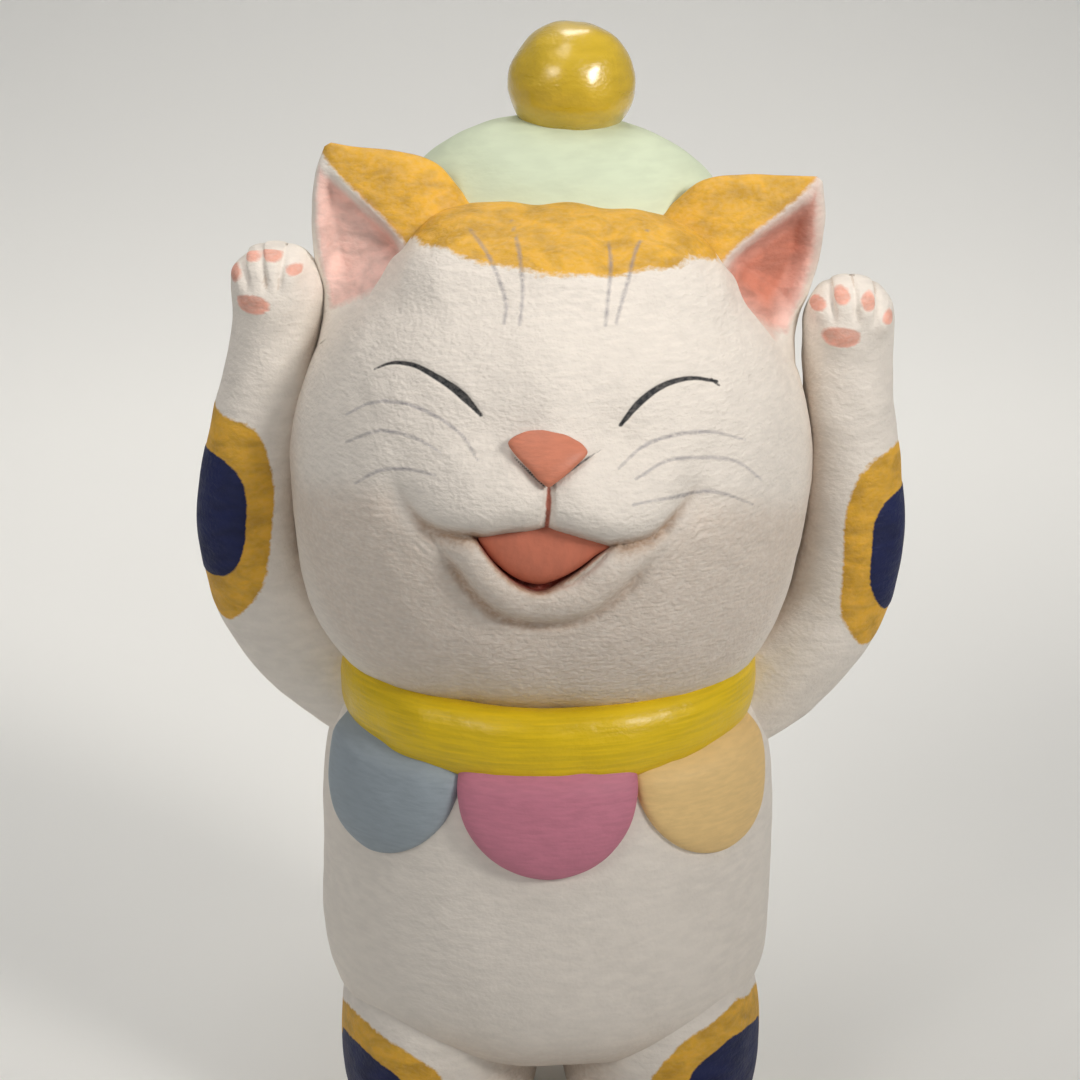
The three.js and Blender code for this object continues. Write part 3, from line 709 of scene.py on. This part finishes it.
# Toes as (middle across, middle up, pad's width, pad's height) from the end of the path, and the
# palm's pad in the same way.
TOES = {-1: [(-5.3, 4.0, 1.6, 2.4), (-3.1, 6.6, 2.2, 1.6), (-0.5, 7.0, 2.5, 1.6),
             (2.4, 5.3, 2.1, 1.6)],
        1: [(-5.0, 4.2, 2.1, 2.1), (-1.9, 5.8, 2.0, 2.4), (1.5, 5.2, 1.9, 2.5),
            (4.4, 2.9, 1.7, 2.0)]}
PALM = {-1: (-3.0, -0.6, 4.8, 2.9), 1: (-1.9, -0.6, 5.4, 3.1)}


def oval(x, z, across, tall, power=2.0):
    """Distance outside an oval of this width and height, near enough, in millimetres."""
    round_share = (np.abs(x / across * 2) ** power + np.abs(z / tall * 2) ** power) ** (1 / power)
    return (round_share - 1) * min(across, tall) / 2


def arm(side):
    """Rings along one arm, in the head's frame, with the distances to its patches and pads, and
    where it gets painted shade.
    """
    line = strand([(side * x + ARM_SHIFT, y, z) for x, y, z in ARM_PATH], 190)
    radius = through(*ARM_RADIUS, line[:, 2])
    cap = np.radians(np.linspace(2, 89, 44))
    end = unit(line[-1] - line[-4])
    top = line[-1] + np.sin(cap)[:, None] * PAW_TOP * end
    line, radius = np.vstack([line, top]), np.concatenate([radius, radius[-1] * np.cos(cap)])
    turn = np.linspace(0, 2 * math.pi, 150, endpoint=False)
    along = unit(np.gradient(line, axis=0))
    along[-len(cap) - 2:] = end
    outward = unit(np.cross([0, 1.0, 0], along)) * side
    front = np.cross(along, outward) * -side
    ring = (np.cos(turn)[None, :, None] * outward[:, None]
            + 1.03 * np.sin(turn)[None, :, None] * front[:, None])
    points = line[:, None] + radius[:, None, None] * ring
    x = points[..., 0] - side * ARM_PATH[-1][0] - ARM_SHIFT
    z = points[..., 2] - ARM_PATH[-1][2]
    facing = smooth(1.5, -2.5, points[..., 1])
    raised = np.zeros(x.shape)
    coral = np.full(x.shape, 9.0)
    toes = TOES[side]
    for tx, tz, wide, tall in toes:
        raised += 1.25 * bell(np.hypot((x - tx) / 0.95, (z - tz + 0.6) / 1.5), 1.65)
        coral = np.minimum(coral, oval(x - tx, z - tz + 0.3, wide, tall))
    for (ax, az, _, _), (bx, bz, _, _) in zip(toes[:-1], toes[1:]):
        gap = np.abs(x - (ax + bx) / 2 - 0.10 * (z - (az + bz) / 2) * np.sign(ax + bx))
        raised -= 0.75 * bell(gap, 0.42) * smooth(0.5, 3.5, z)
    px, pz, wide, tall = PALM[side]
    raised += 0.45 * bell(np.hypot(x - px, (z - pz) * 1.4), 3.2)
    coral = np.minimum(coral, oval(x - px, z - pz, wide, tall, 2.3)) + 9 * (1 - facing)
    toe_zone = np.maximum(facing, smooth(4, 7, z) * smooth(5, -1, points[..., 1]))
    soft = 0.22 * lumps(points, 14, 20 + side) + 0.07 * lumps(points, 5, 22)
    round_way = np.where(turn > math.pi, turn - 2 * math.pi, turn)[None, :] * radius[:, None]
    length = points[..., 2] + 11.0
    wavy = 0.55 * lumps(points, 9, 24 + side)
    forward = round_way - PATCH_FORWARD[side]
    mustard = oval(forward, length, 29.5, 33.5, 2.4) + wavy
    navy = oval(forward, length + 0.6, 20.5, 20.5, 2.7) + 0.5 * wavy
    high = 0.14 * smooth(0.2, -0.4, navy) + 0.06 * smooth(0.2, -0.4, mustard)
    points = points + ring * (raised * toe_zone + soft + high)[..., None]
    # Painted shade on the inner side of the arm, below the paw, and in the gaps between the toes.
    inner = smooth(-0.55, -0.95, np.cos(turn))[None, :] * smooth(24, 14, points[..., 2])
    return points, {"coral": coral, "mustard": mustard, "navy": navy,
                    "painted_shade": 0.6 * inner + 0.5 * (raised < -0.2) * toe_zone}


# The navy lies thick on the mustard and its edge is sharp, so it looks painted last.
arm_paint = paint(
    "white acrylic with navy spots ringed in mustard", WHITE,
    [("mustard", MUSTARD, 0.18, 0.4, 0.05), ("navy", NAVY, 0.12, 0.22, 0.0),
     ("coral", "#efb09c", 0.15, 0.25, 0.2)], brush=(3.2, 3.2, 1.3), relief=0.11, painted_shade_share=0.6)
for name, side in (("left", -1), ("right", 1)):
    points, fields = arm(side)
    piece("arm_roll_" + name, leaned(points), arm_paint, ["arm_" + name], fields)

# %% [markdown]
# ## Body
#
# The body is a turned form: an outline carried round an upright axis, oval from above. The belly
# hangs a little over the legs, so its low edge is a soft fold. The collar and the bib lobes lie
# on it, and they take their places from the same formula as the body's skin.

# %% body
BODY_LOW, BODY_HIGH = box_mm("torso")[0][2], 94.0
BODY_WAIST = 0.45               # where the body is widest, as a share of its height


def body_radius(share):
    """The outline's half width, as a share of the widest, at a share of the height. Both halves
    are squared ovals: a flat-bottomed one below the waist and a longer, rounder one above."""
    share = np.clip(share, 0.0005, 0.9995)
    below = np.clip((BODY_WAIST - share) / BODY_WAIST, 0, 1)
    above = np.clip((share - BODY_WAIST) / (1 - BODY_WAIST), 0, 1)
    return (1 - below ** 5.5) ** (1 / 3) * (1 - above ** 2.5) ** (1 / 2.6)


def body_skin(turn, z, rise=0.0):
    """The body's surface at a turn from the front, towards +x, and a height, moved outwards by
    rise along the direction square to the surface."""
    share = (z - BODY_LOW) / (BODY_HIGH - BODY_LOW)
    radius = body_radius(share)
    slope = (body_radius(share + 0.005) - body_radius(share - 0.005)) / 0.01
    slope = slope / (BODY_HIGH - BODY_LOW)
    x, y = TORSO[0] * radius * np.sin(turn), -TORSO[1] * radius * np.cos(turn)
    square = np.stack([x / TORSO[0] ** 2, y / TORSO[1] ** 2, -radius * slope], -1)
    spot = np.stack([x + TORSO_AT[0] - 0.6, y + TORSO_AT[1], z + 0 * x], -1)
    return spot + unit(square) * np.broadcast_to(rise, x.shape)[..., None]


turn = np.linspace(-math.pi, math.pi, 240, endpoint=False)[None, :]
z = BODY_LOW + (BODY_HIGH - BODY_LOW) * (1 - np.cos(np.linspace(0.03, 3.11, 180)[:, None])) / 2
skin = body_skin(turn, z + 0 * turn)
hang = 1.0 * bell(z - 36, 16) * bell(turn, 0.9)
soft = 0.3 * lumps(skin, 19, 31) + 0.06 * lumps(skin, 5, 32)
body = body_skin(turn, z + 0 * turn, hang + soft)
# Painted shade low on the body, darker towards the bottom.
low_painted_shade = smooth(32, 20, z) * 0.5 + 0 * turn
# The strokes are longer across than up, which shows that the brush went round the body.
body_paint = paint("white acrylic, brushed round the body", WHITE, [], brush=(3.5, 3.5, 1.2),
                   mottle=0.035, relief=0.08, painted_shade_share=0.6)
piece("body_skin", body, body_paint, ["torso"], {"painted_shade": low_painted_shade})

# %% [markdown]
# ## Legs and feet
#
# The legs are short and thick, with round thighs at the sides of the belly and a foot that
# points forward. Each is one lump of clay: a ball for the thigh and one for the foot, melted
# into each other, and pressed flat below so that the cat stands. The thigh has a painted patch.

# %% legs
LEG, FOOT = np.array([16.8, 25.5, 21.0]), np.array([12.6, 12.5, 9.5])
LEG_APART, LEG_MIDDLE, FOOT_REACH = 18.2, 18.0, 20.5
TOE_OUT = 0.8                   # how far a foot's middle is outside its thigh's
TOE_WIDE = 5.0                  # from the middle toe's middle to the grooves beside it
SOLE_SOFT = 2.5                 # clay below this height is squeezed flat on the floor
THIGH_PATCH = {"turn": 46.0, "height": 16.0, "wide": 38.0, "tall": 25.0, "ring": 4.3}


def leg(side):
    """Directions of a globe round the thigh's middle. Each point is where the direction leaves
    the farther of two ovals, with the step between them melted by a soft maximum."""
    way, thigh = ball(LEG, 150, 200, power=2.35)
    away = np.linalg.norm(thigh, axis=-1)
    foot_at = np.array([side * TOE_OUT, -FOOT_REACH + 2, FOOT[2] - LEG_MIDDLE - 0.2])
    a = ((way / FOOT) ** 2).sum(-1)
    b = (way * foot_at / FOOT ** 2).sum(-1)
    c = ((foot_at / FOOT) ** 2).sum() - 1
    inside = b * b - a * c
    reach = np.where(inside > 0, (b + np.sqrt(np.maximum(inside, 0))) / a, 0.0)
    melt = 1.6
    away = melt * np.logaddexp(away / melt, reach / melt)
    points = way * away[..., None]
    toe_x = (points[..., 0] - side * TOE_OUT) / TOE_WIDE
    on_toe = smooth(-21, -26, points[..., 1]) * smooth(-2, -8, points[..., 2])
    grooves = 0.7 * bell((np.abs(toe_x) - 1) * TOE_WIDE, 0.6) * on_toe
    points = points - way * grooves[..., None]
    soft = 0.25 * lumps(points + side * 40, 15, 41) + 0.06 * lumps(points, 5, 42)
    points = points + way * soft[..., None]
    points = points + np.array([side * LEG_APART + TORSO_AT[0], TORSO_AT[1] - 1.0, LEG_MIDDLE])
    z = points[..., 2]
    z = np.where(z < SOLE_SOFT, SOLE_SOFT * np.exp((z - SOLE_SOFT) / SOLE_SOFT), z)
    low = z.min()
    z = np.where(z < SOLE_SOFT, (z - low) * SOLE_SOFT / (SOLE_SOFT - low), z)
    points[..., 2] = z
    out = (points[..., 0] - TORSO_AT[0]) * side
    way_round = np.arctan2((TORSO_AT[1] - points[..., 1]) / LEG[1], (out - LEG_APART) / LEG[0])
    arc = (way_round - math.radians(THIGH_PATCH["turn"])) * (LEG[0] + LEG[1]) / 2
    up = z - THIGH_PATCH["height"] + 1.2 - 1.2 * side
    mustard = (oval(arc, up, THIGH_PATCH["wide"], THIGH_PATCH["tall"], 2.1)
               + 0.4 * lumps(points, 8, 43))
    # Painted shade on the inner side of each leg, where the legs face each other.
    return points, {"mustard": mustard, "navy": mustard + THIGH_PATCH["ring"],
                    "painted_shade": 0.5 * smooth(14, 6, out)}


for name, side in (("left", -1), ("right", 1)):
    points, fields = leg(side)
    fields["coral"] = 9.0       # the arms' paint is used again, and a leg has no coral on it
    piece("leg_form_" + name, points, arm_paint, ["leg_" + name], fields)

# %% [markdown]
# ## Tail
#
# A short stump at the back, rolled round and pressed on below the waist.

# %% tail
TAIL, TAIL_AT = half_mm("tail"), middle_mm("tail")
way, stump = ball((TAIL[0], TAIL[1] + 2.5, TAIL[2]), 60, 80, power=2.2)
stump = stump + way * (0.35 * lumps(stump, 9, 51))[..., None]
stump = stump + TAIL_AT + [0, -2.6, 0.05 * TAIL[2]]
# More mottle than elsewhere, so it looks like one thin, uneven coat.
tail_paint = paint("mustard acrylic over clay", MUSTARD, [], mottle=0.1, brush=(2.5, 2.5, 0.6))
piece("tail_stump", stump, tail_paint, ["tail"])

# %% [markdown]
# ## Collar and bib
#
# The collar is a flat roll laid round the neck and brushed along its length in a satin yellow.
# Below it hang three cushions, each an outline with a straight top and a round foot, pressed on
# to the chest.

# %% collar and bib
COLLAR_MIDDLE, COLLAR_RISE, COLLAR_TALL, COLLAR_THICK = 77.6, 3.0, 6.0, 3.8
turn = np.linspace(-math.pi, math.pi, 420, endpoint=False)[:, None]
across = np.linspace(0, 2 * math.pi, 72, endpoint=False)[None, :]
high = (np.abs(np.sin(across)) ** 0.85) * np.sign(np.sin(across))
out = (np.abs(np.cos(across)) ** 0.85) * np.sign(np.cos(across))
seat_at = COLLAR_MIDDLE + COLLAR_RISE * (1 - np.cos(turn)) + 0 * across
collar = body_skin(turn + 0 * across, seat_at)
outwards = np.stack([np.sin(turn) + 0 * across, -np.cos(turn) + 0 * across, 0 * seat_at], -1)
collar = (collar + outwards * (0.45 - 1.7 * np.sin(turn) ** 2 + COLLAR_THICK * out)[..., None]
          + (COLLAR_TALL * high + 0 * turn)[..., None] * [0, 0, 1.0])
soft = 0.22 * lumps(collar, 13, 61) + 0.06 * lumps(collar, 4, 62)
collar = collar + unit(collar - TORSO_AT * [1, 1, 0] - [0, 0, 82.0]) * soft[..., None]
print("collar", collar.reshape(-1, 3).min(0).round(1), collar.reshape(-1, 3).max(0).round(1))
# Very long fine strokes with a thin coat of varnish: light runs along the roll in a streak.
collar_paint = paint("satin yellow acrylic, brushed along the roll", "#e6c30c", [],
                     brush=(9, 9, 0.5), gloss=0.36, coat=0.15, mottle=0.09, relief=0.06)
ring_piece("collar_roll", collar, collar_paint, ["collar"])

LOBE_HALF, LOBE_FOOT, LOBE_THICK = 14.0, 57.5, 3.1
LOBE_TOPS = {"blue": (84, 76), "pink": (77, 77), "cream": (76, 84)}
# Matte and nearly flat, so the three soft colours carry the bib.
LOBES = (("blue", -47, "#9aa5ad", "grey_blue_clay", "grey-blue acrylic, brushed flat"),
         ("pink", 0, "#cb7e92", "pink_clay", "rose acrylic, brushed flat"),
         ("cream", 47, "#ecc98a", "cream_clay", "cream acrylic, brushed flat"))
for name, angle, colour, slot, finish in LOBES:
    left_top, right_top = LOBE_TOPS[name]
    line = closed_line([(-LOBE_HALF, left_top), (-LOBE_HALF, 71.5), (-11.7, 64.5), (-6.6, 59.4),
                        (0, LOBE_FOOT), (6.6, 59.4), (11.7, 64.5), (LOBE_HALF, 71.5),
                        (LOBE_HALF, right_top), (5, right_top + 1), (-5, left_top + 1)], 130)
    s, z, height = cushion(line, (0, 70.0), 64, 0.62)
    middle = math.radians(angle)
    per_turn = 0.95 * math.hypot(TORSO[0] * math.cos(middle), TORSO[1] * math.sin(middle))
    tuck = 1.0 if angle == 0 else 0.35
    rise = np.where(height > 0, LOBE_THICK * height, 1.6 * height) + tuck - 0.6
    under_collar = z - (COLLAR_MIDDLE + COLLAR_RISE * (1 - np.cos(middle + s / per_turn)))
    rise = rise - (2.6 - tuck) * smooth(-7.5, -1.5, under_collar)
    lobe = body_skin(middle + s / per_turn, z, rise)
    soft = 0.2 * lumps(lobe, 12, 70 + angle) + 0.05 * lumps(lobe, 4, 73)
    lobe = lobe + unit(lobe - TORSO_AT) * soft[..., None]
    material = paint(finish, colour, [], gloss=0.6, mottle=0.05, brush=(3, 3, 0.6), relief=0.035)
    piece("bib_cushion_" + name, lobe, material, ["bib_lobe_" + name])

# %% [markdown]
# ## Inside
#
# The cores and wires are never seen, but they are real pieces, so each gets the finish of what
# it is: pressed foam, a beech dowel and drawn aluminium wire.

# %% inside
def inner(name, nodes, colours, grain, rough, metal=0.0):
    """A two-tone material for hidden pieces, with grains of this size in millimetres."""
    material, tree = bare(name)
    tone = strokes(tree, grain, 3.0)
    mixed = add(tree, "MapRange", {"Value": tone, "From Min": 0.35, "From Max": 0.65})
    shade = add(tree, "Mix", {0: mixed, 6: linear(colours[0]), 7: linear(colours[1])}, 2,
                data_type="RGBA")
    bump = add(tree, "Bump", {"Strength": 1.0, "Distance": 0.08 * MM, "Height": tone})
    skin = add(tree, "BsdfPrincipled", {"Base Color": shade, "Metallic": metal,
                                        "Roughness": rough, "Normal": bump})
    add(tree, "OutputMaterial", {"Surface": skin})
    for node in nodes:
        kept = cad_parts[node]
        for slot in kept.material_slots:
            slot.material = material
        if not kept.material_slots:
            kept.data.materials.append(material)
    print(name, nodes)


# Foam shows its beads, beech its long grain, and the wire a dull metal shine.
inner("carved white foam", ["torso_core", "head_core"],
      ("#dcdcd8", "#f2f2ee"), (1.6, 1.6, 1.6), 0.9)
inner("turned beech", ["neck_dowel"], ("#b98f5e", "#dab883"), (0.5, 0.5, 9), 0.6)
inner("drawn aluminium wire", ["arm_wire_left", "arm_wire_right", "hat_ball_pin"],
      ("#b9bcc0", "#d4d6d9"), (0.3, 0.3, 4), 0.35, 1.0)

# %% [markdown]
# ## Floor, light and camera
#
# A pale sheet of paper lies under the cat and bends up behind it, so no horizon shows.

# %% paper sweep
SWEEP_WIDE, SWEEP_DEEP, SWEEP_BEND = 1.6, 0.45, 0.25
SWEEP_NEAR, SWEEP_TALL = 0.9, 0.8
FLAT, BENT = 0.55, 0.25         # the shares of the rows that lie flat and that bend
run = np.linspace(0, 1, 60)[:, None]
side = np.linspace(-SWEEP_WIDE / 2, SWEEP_WIDE / 2, 2)[None, :]
turn = np.clip((run - FLAT) / BENT, 0, 1) * math.pi / 2
up = np.clip((run - FLAT - BENT) / (1 - FLAT - BENT), 0, 1)
y = run.clip(0, FLAT) / FLAT * (SWEEP_NEAR + SWEEP_DEEP) - SWEEP_NEAR + SWEEP_BEND * np.sin(turn)
z = SWEEP_BEND * (1 - np.cos(turn)) + SWEEP_TALL * up
spots = np.stack([side + 0 * y, y + 0 * side, z + 0 * side], -1)
quads = [(2 * k, 2 * k + 1, 2 * k + 3, 2 * k + 2) for k in range(len(run) - 1)]
mesh = bpy.data.meshes.new("paper_sweep")
mesh.from_pydata(spots.reshape(-1, 3).tolist(), [], quads)
mesh.polygons.foreach_set("use_smooth", np.ones(len(quads), bool))
# Paper has no shine, so it takes the lamps' soft pools and the cat's shadow and nothing else.
paper, tree = bare("matte pale paper")
surface = add(tree, "BsdfPrincipled", {"Base Color": linear("#f3f3f0"), "Roughness": 0.95})
add(tree, "OutputMaterial", {"Surface": surface})
mesh.materials.append(paper)
sweep = bpy.data.objects.new("paper_sweep", mesh)
bpy.context.scene.collection.objects.link(sweep)
print("paper sweep", len(mesh.vertices), "points")

# %% [markdown]
# Four round lamps give soft light. The overhead one shapes the cat, so shade grows downwards. The
# front one, from the left, and the window one, from the right, are weak and narrow and lift the
# face. The backdrop one lights only the paper behind, and the room adds a little from everywhere.

# %% lamps
def aim(way):
    """The turn that points an object's own -Z along a direction, with its Y kept upright."""
    flat = math.hypot(way[0], way[1])
    return (math.atan2(flat, -way[2]), 0.0, math.atan2(way[1], way[0]) - math.pi / 2)


def lamp(name, place, target, size, watts, spread=180.0):
    """A round, slightly warm light at a place, aimed at a target. A small spread, in degrees,
    keeps the light to where it is aimed, and it fades out round that."""
    light = bpy.data.lights.new(name, "AREA")
    light.shape, light.size, light.energy = "DISK", size, watts
    light.spread = math.radians(spread)
    light.color = linear("#fffaf4")[:3]
    made = bpy.data.objects.new(name, light)
    made.location = place
    made.rotation_euler = aim(np.array(target) - np.array(place))
    bpy.context.scene.collection.objects.link(made)
    print("lamp", name, watts, "W")


lamp("overhead", (-0.10, -0.12, 0.85), (0, 0, 0.12), 0.40, 1.15)
lamp("front", (-0.34, -0.42, 0.45), (0, 0, 0.20), 0.30, 0.075, 36.0)
lamp("window", (0.45, -0.40, 0.45), (0, 0, 0.18), 0.20, 0.150, 36.0)
lamp("backdrop", (0, 0.66, 1.0), (0, 0.52, 0), 0.5, 1.7, 74.0)
world = bpy.data.worlds.new("room")
world.use_nodes = True
world.node_tree.nodes["Background"].inputs["Color"].default_value = linear("#dfe3e8")
world.node_tree.nodes["Background"].inputs["Strength"].default_value = 0.25
bpy.context.scene.world = world
bpy.context.scene.view_settings.view_transform = "Standard"

# %% [markdown]
# The camera stands 0.38 m in front and looks down by 18 degrees, with a long lens.

# %% camera
CAMERA_AT = np.array([-1.73, -384.4, 226.3]) + [TORSO_AT[0], TORSO_AT[1], 0]
CAMERA_AIM = np.array([-1.73, -3.99, 102.7]) + [TORSO_AT[0], TORSO_AT[1], 0]
lens = bpy.data.cameras.new("camera")
lens.lens, lens.sensor_width = 84.7, 36.0
camera = bpy.data.objects.new("camera", lens)
camera.location = CAMERA_AT * MM
camera.rotation_euler = aim(CAMERA_AIM - CAMERA_AT)
bpy.context.scene.collection.objects.link(camera)
bpy.context.scene.camera = camera
print("camera at", CAMERA_AT.round(1), "aimed at", CAMERA_AIM.round(1))
